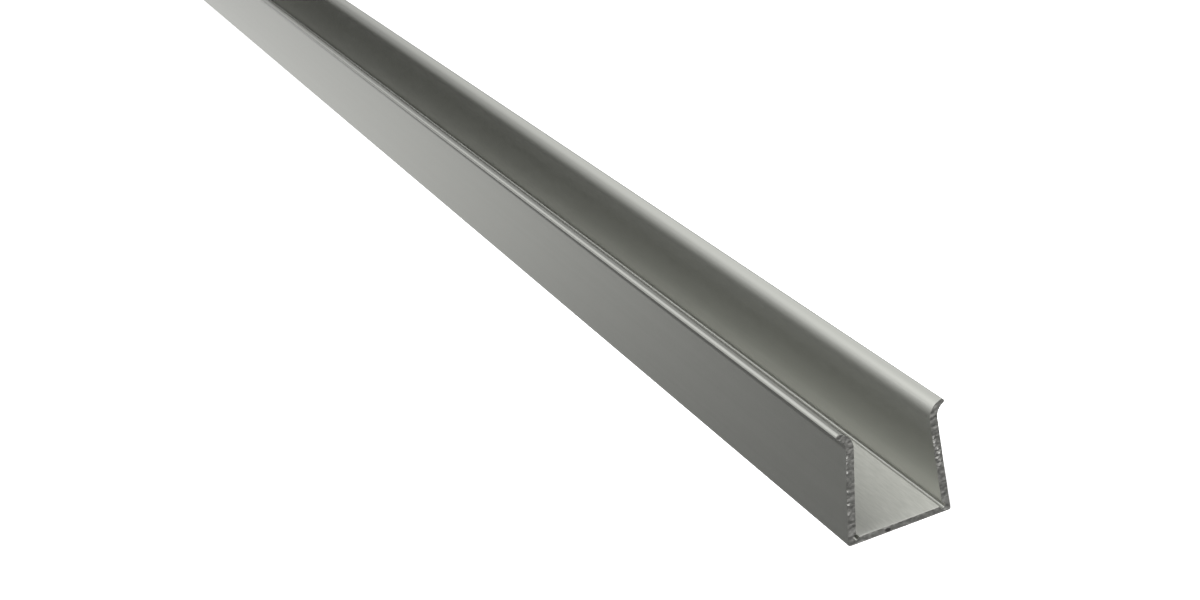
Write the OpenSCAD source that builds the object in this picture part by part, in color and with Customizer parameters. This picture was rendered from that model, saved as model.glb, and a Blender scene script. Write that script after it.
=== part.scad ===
// Extruded aluminium clip channel, cut to a stock length and lying on its base.
// The section stands in the X-Z plane with its mouth up, and the length runs along Y.
// The origin is the middle of the underside, halfway along the length. Sizes are millimetres.

/* [Stock] */
// Length of the sawn piece
length = 1000; // [100:10:3000]

/* [Section] */
// Width of the underside, before its corners are rounded
base_w = 16; // [13:0.5:30]
// Overall height, from the underside to the top of the lips
height = 16.9; // [10:0.1:30]
// Thickness of the base
base_t = 1; // [0.8:0.1:2]
// Thickness of the side walls
wall_t = 1.2; // [0.8:0.1:2]
// Inward lean of each side wall from upright, in degrees
wall_lean = 4; // [0:0.5:8]

/* [Lips] */
// Radius of the hollow on the outside of each lip
lip_hollow_r = 2; // [1:0.1:3]
// Angle through which each lip turns outward from its wall, in degrees
lip_turn = 66; // [40:1:75]
// Thickness of each lip at its rounded tip
lip_tip_t = 0.7; // [0.4:0.05:1]

/* [Corners] */
// Radius of the two outer corners under the base
corner_r = 0.3; // [0.1:0.05:0.6]
// Radius of the relief groove in the two inner corners, at the foot of each wall
relief_r = 0.45; // [0.2:0.05:0.6]

/* [Hidden] */
$fn = 96;

// A round laps over the faces that it blends into by this much, so that they cross cleanly.
lap = 0.002;

// Each wall and its lip are drawn in the wall's own frame: x is outward from the wall's outer
// face, and y runs up that face from the outer corner of the underside.
tip_r = lip_tip_t / 2;
tip_from_hollow = lip_hollow_r + tip_r - lap;
inner_from_hollow = lip_hollow_r + wall_t;

// The lead-in inside the lip is tangent to the wall's inner face and blends into the tip.
lead_in_r = round(1e4 * (pow(tip_from_hollow, 2) + pow(inner_from_hollow, 2)
                         - 2 * tip_from_hollow * inner_from_hollow * cos(lip_turn)
                         - pow(tip_r - lap, 2))
                  / (2 * (inner_from_hollow - tip_r + lap - tip_from_hollow * cos(lip_turn)))) / 1e4;

// The wall takes the height that is left below its lip.
tip_x = lip_hollow_r - tip_from_hollow * cos(lip_turn);
tip_rise = tip_from_hollow * sin(lip_turn);
wall_len = (height - tip_r - tip_x * sin(wall_lean)) / cos(wall_lean) - tip_rise;

hollow_c = [lip_hollow_r, wall_len];
lead_in_c = [lead_in_r - wall_t, wall_len];
tip_c = [tip_x, wall_len + tip_rise];
hollow_to_tip = (tip_c - hollow_c) / norm(tip_c - hollow_c);
lead_in_to_tip = (tip_c - lead_in_c) / norm(tip_c - lead_in_c);

// The height up the outer face where the rounded corner of the underside ends.
corner_top = corner_r * (1 + sin(wall_lean)) / cos(wall_lean);

// These are in the section's frame, where x is out from the middle and y is up.
corner_c = [base_w / 2 - corner_r * tan(wall_lean) - corner_r / cos(wall_lean) + lap, corner_r];
relief_c = [base_w / 2 - wall_t / cos(wall_lean) - base_t * tan(wall_lean), base_t];

// The flat base, between the rounds of its outer corners.
module base() {
    translate([-corner_c.x, 0]) square([2 * corner_c.x, base_t]);
}

// One side wall, in its own frame.
module wall() {
    translate([-wall_t, corner_top]) square([wall_t, wall_len - corner_top]);
}

// One lip, in its wall's frame: the lead-in's round less the hollow outside it, up to the tip.
module lip() {
    blank = [
        [-2 * wall_t, wall_len - wall_t],
        [0, wall_len - wall_t],
        [0, wall_len],
        hollow_c,
        hollow_c + lip_hollow_r * hollow_to_tip,
        lead_in_c + lead_in_r * lead_in_to_tip,
        lead_in_c + 2 * lead_in_r * lead_in_to_tip,
        [-2 * wall_t, wall_len + 2 * lead_in_r]
    ];
    difference() {
        intersection() {
            translate(lead_in_c) circle(r = lead_in_r);
            polygon(blank);
        }
        translate(hollow_c) circle(r = lip_hollow_r);
    }
    translate(tip_c) circle(r = tip_r);
}

// The whole section: the walls, lips and corners are alike on both sides.
module section() {
    difference() {
        union() {
            base();
            for (side = [0, 1])
                mirror([side, 0]) {
                    translate(corner_c) circle(r = corner_r);
                    translate([base_w / 2, 0]) rotate(wall_lean) {
                        wall();
                        lip();
                    }
                }
        }
        for (side = [0, 1])
            mirror([side, 0]) translate(relief_c) circle(r = relief_r);
    }
}

// The extruded profile, sawn square at both ends.
module channel_profile() {
    color([0.70, 0.70, 0.68])
        rotate([90, 0, 0])
            linear_extrude(height = length, center = true)
                section();
}

channel_profile();
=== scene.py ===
import random
from math import cos, pi, radians, sin, sqrt, tan

import bmesh
import bpy
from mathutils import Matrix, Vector


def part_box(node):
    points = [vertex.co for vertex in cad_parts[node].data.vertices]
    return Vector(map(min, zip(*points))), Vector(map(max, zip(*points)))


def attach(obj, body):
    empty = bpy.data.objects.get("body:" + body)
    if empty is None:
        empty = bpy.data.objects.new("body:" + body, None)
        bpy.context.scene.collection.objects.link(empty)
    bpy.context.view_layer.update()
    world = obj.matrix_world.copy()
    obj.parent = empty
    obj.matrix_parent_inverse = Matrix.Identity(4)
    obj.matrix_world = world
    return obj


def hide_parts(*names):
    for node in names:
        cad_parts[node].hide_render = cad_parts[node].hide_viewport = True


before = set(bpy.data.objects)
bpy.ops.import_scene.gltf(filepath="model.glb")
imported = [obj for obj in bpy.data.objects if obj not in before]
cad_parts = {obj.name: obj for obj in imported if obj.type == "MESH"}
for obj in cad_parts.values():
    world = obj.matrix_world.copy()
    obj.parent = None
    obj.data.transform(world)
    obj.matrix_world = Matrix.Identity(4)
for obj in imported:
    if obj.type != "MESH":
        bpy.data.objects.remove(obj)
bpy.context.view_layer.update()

# The channel is one extruded length of aluminium: a flat base, two walls that lean in, and a lip curled
# outward on each wall. One wall is drawn upright with its outer face at x = 0, and its lip grows from
# its top edge in small turns, as the metal flows round the die.
mm = 0.001
low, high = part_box("channel_profile")
near_y = low.y
far_y = high.y
length = far_y - near_y
height = high.z
base_w = 16 * mm
wall_t = 1.2 * mm
wall_lean = radians(4)
lip_hollow_r = 2 * mm
lip_turn = radians(66)
lip_steps = 14
tip_r = 0.35 * mm
round_steps = 6
spare = 2 * mm

# The lead-in inside each lip is one arc, tangent to the wall's inner face and to the rounded tip.
tip_from_hollow = lip_hollow_r + tip_r
inner_from_hollow = lip_hollow_r + wall_t
lead_in_r = (
    (tip_from_hollow**2 + inner_from_hollow**2 - tip_r**2
     - 2 * tip_from_hollow * inner_from_hollow * cos(lip_turn))
    / (2 * (inner_from_hollow - tip_r - tip_from_hollow * cos(lip_turn)))
)
tip_x = lip_hollow_r - tip_from_hollow * cos(lip_turn)
tip_rise = tip_from_hollow * sin(lip_turn)
wall_len = (height - tip_r - tip_x * sin(wall_lean)) / cos(wall_lean) - tip_rise
hollow_centre = Vector((lip_hollow_r, 0, wall_len))


def lip_thickness(turn):
    """How thick the lip is where it has turned this far, from its hollow out to its lead-in."""
    offset = inner_from_hollow - lead_in_r
    return offset * cos(turn) + sqrt(lead_in_r**2 - (offset * sin(turn))**2) - lip_hollow_r


def pick(kind, test):
    """Select the vertices, edges or faces that pass the test, and nothing else."""
    bpy.ops.mesh.select_mode(type=kind)
    bpy.ops.mesh.select_all(action="DESELECT")
    mesh = bmesh.from_edit_mesh(bpy.context.edit_object.data)
    for part in {"VERT": mesh.verts, "EDGE": mesh.edges, "FACE": mesh.faces}[kind]:
        if test(part):
            part.select_set(True)
    mesh.select_flush_mode()


def is_long(edge):
    """Whether an edge runs the whole length of the stock."""
    return abs(edge.verts[0].co.y - edge.verts[1].co.y) > length


# The wall starts with some spare at its ends and its foot, which is cut off further down.
bpy.ops.object.select_all(action="DESELECT")
bpy.ops.mesh.primitive_cube_add(
    size=1,
    location=(-wall_t / 2, 0, (wall_len - spare) / 2),
    scale=(wall_t, length + 2 * spare, wall_len + spare),
)
walls = bpy.context.object
bpy.ops.object.transform_apply(location=True, rotation=True, scale=True)
bpy.ops.object.mode_set(mode="EDIT")
pick("FACE", lambda face: face.normal.z > 0.9)
thickness = wall_t
for step in range(1, lip_steps + 1):
    turn = lip_turn * step / lip_steps
    outer_edge = hollow_centre + lip_hollow_r * Vector((-cos(turn), 0, sin(turn)))
    taper = lip_thickness(turn) / thickness
    thickness = lip_thickness(turn)
    bpy.ops.mesh.extrude_region_move()
    bpy.ops.transform.rotate(value=-lip_turn / lip_steps, orient_axis="Y", center_override=hollow_centre)
    bpy.ops.transform.resize(value=(taper, 1, taper), center_override=outer_edge)

# The tip goes straight on a little, thinner, and its two long edges are rounded into a nose.
tip_reach = 0.33 * mm
tip_taper = 0.85
tip_round = 0.85 * tip_r
along_tip = Vector((sin(lip_turn), 0, cos(lip_turn)))
bpy.ops.mesh.extrude_region_move()
bpy.ops.transform.translate(value=tip_reach * along_tip)
bpy.ops.transform.resize(value=(tip_taper, 1, tip_taper), center_override=outer_edge + tip_reach * along_tip)
pick("EDGE", lambda edge: is_long(edge) and all(
    (vertex.co - hollow_centre).dot(along_tip) > 0.5 * tip_r for vertex in edge.verts))
bpy.ops.mesh.bevel(offset=tip_round, segments=round_steps, affect="EDGES")

# The wall leans in on its own foot, and is mirrored to the other side of the channel.
bpy.ops.mesh.select_all(action="SELECT")
bpy.ops.transform.rotate(value=wall_lean, orient_axis="Y", center_override=(0, 0, 0))
bpy.ops.transform.translate(value=(base_w / 2, 0, 0))
bpy.ops.object.mode_set(mode="OBJECT")
mirror = walls.modifiers.new("Mirror", "MIRROR")
bpy.ops.object.modifier_apply(modifier=mirror.name)

# The base is a flat strip between the walls, extruded with them in one piece. A round relief groove runs
# along each inner corner, and the outer corners are rounded.
base_t = 1 * mm
corner_r = 0.3 * mm
relief_r = 0.45 * mm
bpy.ops.object.select_all(action="DESELECT")
bpy.ops.mesh.primitive_cube_add(
    size=1,
    location=(0, 0, (base_t - spare) / 2),
    scale=(base_w - wall_t, length + 2 * spare, base_t + spare),
)
channel = bpy.context.object
channel.name = "sawn_channel"
bpy.ops.object.transform_apply(location=True, rotation=True, scale=True)


def combine(piece, tool, operation):
    """Unite the piece with the tool, or cut the tool out of it, and apply that."""
    step = piece.modifiers.new(operation.title(), "BOOLEAN")
    step.object = tool
    step.operation = operation
    step.solver = "EXACT"
    bpy.ops.object.select_all(action="DESELECT")
    bpy.context.view_layer.objects.active = piece
    piece.select_set(True)
    bpy.ops.object.modifier_apply(modifier=step.name)
    bpy.data.objects.remove(tool)


combine(channel, walls, "UNION")

relief_x = base_w / 2 - wall_t / cos(wall_lean) - base_t * tan(wall_lean)
for side in (-1, 1):
    bpy.ops.object.select_all(action="DESELECT")
    bpy.ops.mesh.primitive_cylinder_add(
        vertices=40,
        radius=relief_r,
        depth=length + 4 * spare,
        location=(side * relief_x, 0, base_t),
        rotation=(radians(90), 0, 0),
    )
    groove = bpy.context.object
    bpy.ops.object.transform_apply(location=True, rotation=True, scale=True)
    combine(channel, groove, "DIFFERENCE")


def cut_off(place, direction):
    """Cut the whole mesh with a plane, take off what lies in front of it and close the cut."""
    bpy.ops.mesh.select_all(action="SELECT")
    bpy.ops.mesh.bisect(plane_co=place, plane_no=direction, clear_outer=True, use_fill=True)


bpy.ops.object.mode_set(mode="EDIT")
cut_off((0, 0, 0), (0, 0, -1))
pick("EDGE", lambda edge: is_long(edge) and all(
    vertex.co.z < 0.5 * corner_r and abs(vertex.co.x) > base_w / 2 - 0.1 * corner_r for vertex in edge.verts))
bpy.ops.mesh.bevel(offset=corner_r / tan(pi / 4 - wall_lean / 2), segments=round_steps, affect="EDGES")

# Both ends are cut with a coarse saw. The teeth leave shallow rows, the soft metal tears between them and
# keeps small burrs, and the floor's edge is broken.
saw_inset = 0.2 * mm
rim = 0.6 * mm
edge_break = 0.08 * mm
row_step = 0.2 * mm
row_depth = 0.012 * mm
tear = 0.045 * mm
burr_height = 0.14 * mm
tiny = 0.001 * mm

# The burrs stand at these places on the two walls, across and up, in millimetres.
burrs = (
    (-7.0, 13.2), (-7.1, 12.3), (-7.2, 11.7), (-7.2, 11.0),
    (-7.3, 9.4), (-7.4, 8.1), (-7.5, 6.2), (-7.6, 4.8),
    (6.1, 11.6), (6.2, 10.9), (6.2, 10.4), (6.6, 9.8),
    (6.8, 9.1), (6.6, 8.4), (6.9, 7.9), (6.7, 7.2),
)
random.seed(7)


def score(place, direction):
    """Cut new edges into all that shows, along a plane, and leave them selected."""
    bpy.ops.mesh.select_all(action="SELECT")
    bpy.ops.mesh.bisect(plane_co=place, plane_no=direction)


def saw_end(end_y, out):
    """Saw one end square, inside the stock length by more than a burr, and pick the points of the cut."""
    face_y = end_y - out * saw_inset
    cut_off((0, face_y, 0), (0, out, 0))
    score((0, face_y - out * rim, 0), (0, 1, 0))
    pick("EDGE", lambda edge: all(
        abs(vertex.co.y - face_y) < tiny and abs(vertex.co.z - base_t) < tiny and abs(vertex.co.x) < relief_x
        for vertex in edge.verts))
    bpy.ops.mesh.bevel(offset=edge_break, segments=1, affect="EDGES")
    pick("FACE", lambda face: face.normal.y * out > 0.9)
    bpy.ops.mesh.hide(unselected=True)
    for row in range(1, int(height / row_step)):
        score((0, 0, row * row_step), (0, 0, 1))
        bpy.ops.transform.translate(value=(0, out * row_depth * random.uniform(-1, 1), 0))
    for column in range(int(high.x / row_step)):
        for half in (-1, 1):
            score((half * (column + 0.5) * row_step, 0, 0), (1, 0, 0))
    pick("VERT", lambda vertex: not vertex.hide and not any(face.hide for face in vertex.link_faces))


def sort_points():
    """Put all points in order from left to right, and upward where they stand over each other."""
    mesh = bmesh.from_edit_mesh(channel.data)
    mesh.verts.sort(key=lambda vertex: round(vertex.co.x / tiny) + 0.5 * vertex.co.z / height)


def tear_end(out, side):
    """Tear the points that the saw leaves picked, one after the other, and raise the burrs."""

    def near(spot, reach):
        """A test for vertices of the cut within reach of a spot on it."""
        return lambda vertex: not vertex.hide and (
            (vertex.co.x - side * spot[0] * mm)**2 + (vertex.co.z - spot[1] * mm)**2 < reach**2)

    bpy.ops.transform.vertex_random(offset=tear, normal=1, seed=random.randint(1, 99))
    for spot in burrs:
        pick("VERT", near(spot, row_step))
        bpy.ops.transform.translate(value=(0, out * burr_height * random.uniform(0.8, 1), 0))
    bpy.ops.mesh.select_all(action="SELECT")
    bpy.ops.object.material_slot_assign()
    bpy.ops.mesh.reveal()


bpy.ops.object.material_slot_add()
bpy.ops.object.material_slot_add()
saw_end(near_y, -1)
tear_end(-1, 1)

# The points of the far cut don't come in the same order each time, so they are sorted before they tear.
saw_end(far_y, 1)
sort_points()
tear_end(1, -1)
bpy.ops.mesh.select_all(action="SELECT")
bpy.ops.mesh.remove_doubles(threshold=0.5 * tiny)
bpy.ops.mesh.normals_make_consistent(inside=False)
bpy.ops.object.mode_set(mode="OBJECT")
bpy.ops.object.shade_smooth_by_angle(angle=radians(30))

# The flat faces stay flat beside the rounds, as they are on the drawn metal.
flats = channel.modifiers.new("Flats", "WEIGHTED_NORMAL")
flats.keep_sharp = True
bpy.ops.object.modifier_apply(modifier=flats.name)

# The finish is satin anodising over the drawn surface: fine lines from the die run along the length, under an
# even, slightly warm grey film. The floor is more matt and faintly scuffed, and the metal bent round below
# the lips is duller. Light and shade are painted into the film: painted shade darkens the inner faces, the
# lips and the outer faces towards their top, and painted light makes the foot of the inner faces, the corner
# grooves and the hollow under each lip paler.
film_dark = (0.42, 0.425, 0.395)
film_pale = (0.45, 0.455, 0.425)
line_relief = 0.003 * mm
floor_edge = 6.27 * mm
floor_top = 1.05 * mm
base_middle = 0.5 * mm
groove_top = 1.46 * mm
hollow_top = 16.1 * mm
wall_slope = 0.07


class Signal:
    """A socket in a node tree that takes part in Python arithmetic."""

    def __init__(self, tree, socket=None):
        self.tree = tree
        self.socket = socket

    def node(self, kind, settings=None, sockets=None, output=0):
        """Add a node with these settings and sockets, and give one of its outputs."""
        made = self.tree.nodes.new(kind)
        for name, value in (settings or {}).items():
            if name == "stops":
                for stop, (position, colour) in zip(made.color_ramp.elements, value):
                    stop.position = position
                    stop.color = (*colour, 1)
            else:
                setattr(made, name, value)
        for name, value in (sockets or {}).items():
            if isinstance(value, Signal):
                self.tree.links.new(value.socket, made.inputs[name])
            else:
                made.inputs[name].default_value = value
        return Signal(self.tree, made.outputs[output] if made.outputs else None)

    def axis(self, number):
        """One coordinate of a place: 0 is x, 1 is y and 2 is z."""
        return self.node("ShaderNodeSeparateXYZ", {}, {0: self}, output=number)

    def soft_step(self, begin, end):
        """A mask that goes smoothly from 0 to 1 while this value goes from begin to end."""
        return self.node(
            "ShaderNodeMapRange",
            {"interpolation_type": "SMOOTHSTEP"},
            {0: self, 1: begin, 2: end},
        )

    def math(self, operation, *values):
        """What a Math node makes of these values."""
        return self.node("ShaderNodeMath", {"operation": operation}, dict(enumerate(values)))

    def __add__(self, other):
        return self.math("ADD", self, other)

    def __radd__(self, other):
        return self.math("ADD", other, self)

    def __sub__(self, other):
        return self.math("SUBTRACT", self, other)

    def __rsub__(self, other):
        return self.math("SUBTRACT", other, self)

    def __mul__(self, other):
        return self.math("MULTIPLY", self, other)

    def __rmul__(self, other):
        return self.math("MULTIPLY", other, self)

    def __lt__(self, other):
        return self.math("LESS_THAN", self, other)

    def __gt__(self, other):
        return self.math("GREATER_THAN", self, other)

    def __abs__(self):
        return self.math("ABSOLUTE", self)


def new_material(name):
    """An empty node material, and a signal to build it from."""
    material = bpy.data.materials.new(name)
    material.use_nodes = True
    material.node_tree.nodes.clear()
    return material, Signal(material.node_tree)


def noise(place, size, detail):
    """Smooth noise from 0 to 1 whose grains are this big along x, y and z, in metres."""
    scaled = place.node(
        "ShaderNodeVectorMath",
        {"operation": "MULTIPLY"},
        {0: place, 1: tuple(1 / extent for extent in size)},
    )
    return place.node(
        "ShaderNodeTexNoise",
        {"noise_dimensions": "3D"},
        {"Vector": scaled, "Scale": 1.0, "Detail": detail, "Roughness": 0.5},
    )


anodised, start = new_material("satin_anodised_aluminium")
place = start.node("ShaderNodeTexCoord", output=3)
die_lines = noise(place, (0.02 * mm, 60 * mm, 0.02 * mm), detail=1)
broad_lines = noise(place, (0.9 * mm, 240 * mm, 0.9 * mm), detail=2)
etch = noise(place, (0.09 * mm, 0.09 * mm, 0.09 * mm), detail=1)
scuffs = noise(place, (0.3 * mm, 2.5 * mm, 1 * mm), detail=3)
shade = 0.5 * die_lines + 0.35 * broad_lines + 0.15 * etch

# Masks tell the faces of the section apart by how far out and how high they lie.
across = abs(place.axis(0))
up = place.axis(2)
above_base = up > base_middle
on_floor = (across < floor_edge) * above_base * (up < floor_top)
inner_side = start.node(
    "ShaderNodeMapRange",
    {},
    {0: across + wall_slope * up, 1: 7.7 * mm, 2: 7.2 * mm},
)
in_bend = up.soft_step(10 * mm, 14.5 * mm) * up.soft_step(16.6 * mm, 15.4 * mm) * inner_side
# Painted shade: this mask darkens the film on the inner faces in the tone below.
inside = inner_side * above_base * (1 - on_floor)
# Painted light: the inner faces are made paler towards their foot, where light comes up from the floor.
at_foot = inside * up.soft_step(7 * mm, 2.5 * mm)
# Painted light: the corner grooves are made paler to give their lit strip.
in_groove = inside * (across > floor_edge) * (up < groove_top)
outside = (1 - inner_side) * above_base * (up < hollow_top)
# Painted light: the hollow under each lip is made paler, against its shade.
in_hollow = outside * up.soft_step(14.2 * mm, 15.4 * mm)
# Painted shade: the lips are made darker to hold down their highlight.
on_lip = up.soft_step(15.6 * mm, 16.3 * mm)
# Painted shade: the outer faces grow darker towards their top.
outer_painted_shade = start.node(
    "ShaderNodeMapRange",
    {},
    {0: up, 1: base_middle, 2: 13.5 * mm, 3: 0.03, 4: 0.18},
)
# The tone carries the painted light and shade of the masks above; only the floor's scuffs are the film's own
# variation.
tone = (
    1 - 0.15 * on_lip - 0.24 * inside + 0.15 * at_foot + 0.1 * in_groove
    + 0.4 * (scuffs - 0.5) * on_floor - outside * outer_painted_shade + 0.2 * in_hollow
)
film = start.node(
    "ShaderNodeValToRGB",
    {"stops": ((0.35, film_dark), (0.65, film_pale))},
    {0: shade},
)
film = start.node("ShaderNodeVectorMath", {"operation": "SCALE"}, {0: film, "Scale": tone})
relief = start.node(
    "ShaderNodeBump",
    {},
    {"Strength": 1.0, "Distance": line_relief, "Height": die_lines},
)
finish = start.node(
    "ShaderNodeBsdfPrincipled",
    {},
    {
        "Base Color": film,
        "Metallic": 0.96 - 0.41 * on_floor - 0.12 * in_bend - 0.2 * in_groove - 0.3 * in_hollow,
        "Roughness": 0.27 + 0.04 * shade + 0.13 * on_floor + 0.1 * in_bend,
        "Specular Tint": (0.75, 0.75, 0.75, 1),
        "Normal": relief,
    },
)
start.node("ShaderNodeOutputMaterial", {}, {"Surface": finish})
channel.material_slots[0].material = anodised

# The sawn ends are bare metal, scored across by the teeth of the saw. The burrs that stand up from them get a
# painted highlight, and the near end has a dark spot of painted shade on its base, standing in for the shade
# of a small chip.
bare_dark = (0.26, 0.26, 0.245)
bare_pale = (0.48, 0.48, 0.455)
burr_glint_colour = (0.8, 0.8, 0.77, 1)
chip_shade_colour = (0.05, 0.05, 0.05, 1)
chip_shade_centre_x = -1.9 * mm
chip_shade_centre_z = 0.4 * mm
chip_shade_outer_r = 0.4 * mm
chip_shade_inner_r = 0.15 * mm
burr_foot_y = far_y - 0.14 * mm
burr_top_y = far_y - 0.1 * mm
tooth_relief = 0.03 * mm
sawn, start = new_material("sawn_aluminium")
place = start.node("ShaderNodeTexCoord", output=3)
tooth_lines = noise(place, (6 * mm, 6 * mm, 0.12 * mm), detail=3)
torn = noise(place, (0.4 * mm, 0.4 * mm, 0.4 * mm), detail=3)
bare = start.node(
    "ShaderNodeValToRGB",
    {"stops": ((0.3, bare_dark), (0.7, bare_pale))},
    {0: 0.5 * tooth_lines + 0.5 * torn},
)
# Painted shade: a dark spot on the near end's base stands in for the shade in a small chip.
chip_shade_x = place.axis(0) - chip_shade_centre_x
chip_shade_z = place.axis(2) - chip_shade_centre_z
chip_shade_reach = 0.5 * chip_shade_x * chip_shade_x + chip_shade_z * chip_shade_z
chip_shade = chip_shade_reach.soft_step(chip_shade_outer_r**2, chip_shade_inner_r**2) * (place.axis(1) < 0)
bare = start.node(
    "ShaderNodeMix",
    {"data_type": "RGBA"},
    {0: 0.8 * chip_shade, 6: bare, 7: chip_shade_colour},
    output=2,
)
# Painted highlight: the burr tips are pale and less metallic so that they glint.
painted_burr_glint = abs(place.axis(1)).soft_step(burr_foot_y, burr_top_y)
bare = start.node(
    "ShaderNodeMix",
    {"data_type": "RGBA"},
    {0: painted_burr_glint, 6: bare, 7: burr_glint_colour},
    output=2,
)
relief = start.node(
    "ShaderNodeBump",
    {},
    {"Strength": 0.5, "Distance": tooth_relief, "Height": 0.6 * tooth_lines + 0.4 * torn},
)
finish = start.node(
    "ShaderNodeBsdfPrincipled",
    {},
    {"Base Color": bare, "Metallic": 1 - 0.6 * painted_burr_glint, "Roughness": 0.28 + 0.2 * torn, "Normal": relief},
)
start.node("ShaderNodeOutputMaterial", {}, {"Surface": finish})
channel.material_slots[1].material = sawn
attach(channel, "root")
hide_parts("channel_profile")

# The studio has a wide sheet of pale paper that glows a little, so that it stays plain. The room is dim, with
# a low strip of light just under the horizon and a row of soft boxes a third of the way up, and a small
# soft lamp hangs over the near end, a little to the left.
bpy.ops.object.select_all(action="DESELECT")
bpy.ops.mesh.primitive_plane_add(size=14, location=(0, 0, -0.02 * mm))
floor = bpy.context.object
floor.name = "studio_floor"
floor.visible_glossy = False
floor.visible_diffuse = False
paper, start = new_material("pale_paper")
sheet = start.node(
    "ShaderNodeBsdfPrincipled",
    {},
    {
        "Base Color": (0.85, 0.85, 0.85, 1),
        "Roughness": 1.0,
        "Specular IOR Level": 0.0,
        "Emission Color": (1, 1, 1, 1),
        "Emission Strength": 0.6,
    },
)
start.node("ShaderNodeOutputMaterial", {}, {"Surface": sheet})
floor.data.materials.append(paper)

# The light from each side of the room goes by its elevation, in degrees.
world = bpy.data.worlds.new("studio_light")
world.use_nodes = True
world.node_tree.nodes.clear()
start = Signal(world.node_tree)
direction = start.node("ShaderNodeTexCoord")
elevation = start.math("ARCSINE", direction.axis(2)) * (180 / pi)
room = 0.14 + 0.26 * elevation.soft_step(-20, 10) + 0.46 * elevation.soft_step(-38, -75)
low_strip = 1.06 * elevation.soft_step(-26, -14) * elevation.soft_step(12, -10)
soft_boxes = 1.4 * elevation.soft_step(11, 31) * elevation.soft_step(56, 32)
sky = start.node(
    "ShaderNodeBackground",
    {},
    {"Color": (1, 1, 1, 1), "Strength": room + low_strip + soft_boxes},
)
start.node("ShaderNodeOutputWorld", {}, {"Surface": sky})
bpy.context.scene.world = world
bpy.context.scene.view_settings.view_transform = "Standard"

bpy.ops.object.select_all(action="DESELECT")
lamp_place = Vector((-0.077, near_y + 0.021, 0.175))
lamp_aim = Vector((0, near_y + 0.02, 0))
bpy.ops.object.light_add(
    type="AREA",
    location=lamp_place,
    rotation=(lamp_aim - lamp_place).to_track_quat("-Z", "Y").to_euler(),
)
lamp = bpy.context.object
lamp.data.size = 0.105
lamp.data.energy = 0.56
lamp.visible_camera = False

# The camera looks along the channel from its near end: 24 degrees above the floor, 20 degrees to the left
# of the length, rolled 9 degrees, through a lens a little longer than a normal one.
bpy.ops.object.select_all(action="DESELECT")
bpy.ops.object.camera_add(
    location=(-0.11156, near_y - 0.19781, 0.14066),
    rotation=(radians(65.55), radians(7.935), radians(-24.069)),
)
camera = bpy.context.object
camera.data.sensor_fit = "HORIZONTAL"
camera.data.sensor_width = 36
camera.data.lens = 58.9
camera.data.shift_x = 0.0012
camera.data.shift_y = -0.0004
camera.data.clip_start = 5 * mm
bpy.context.scene.camera = camera
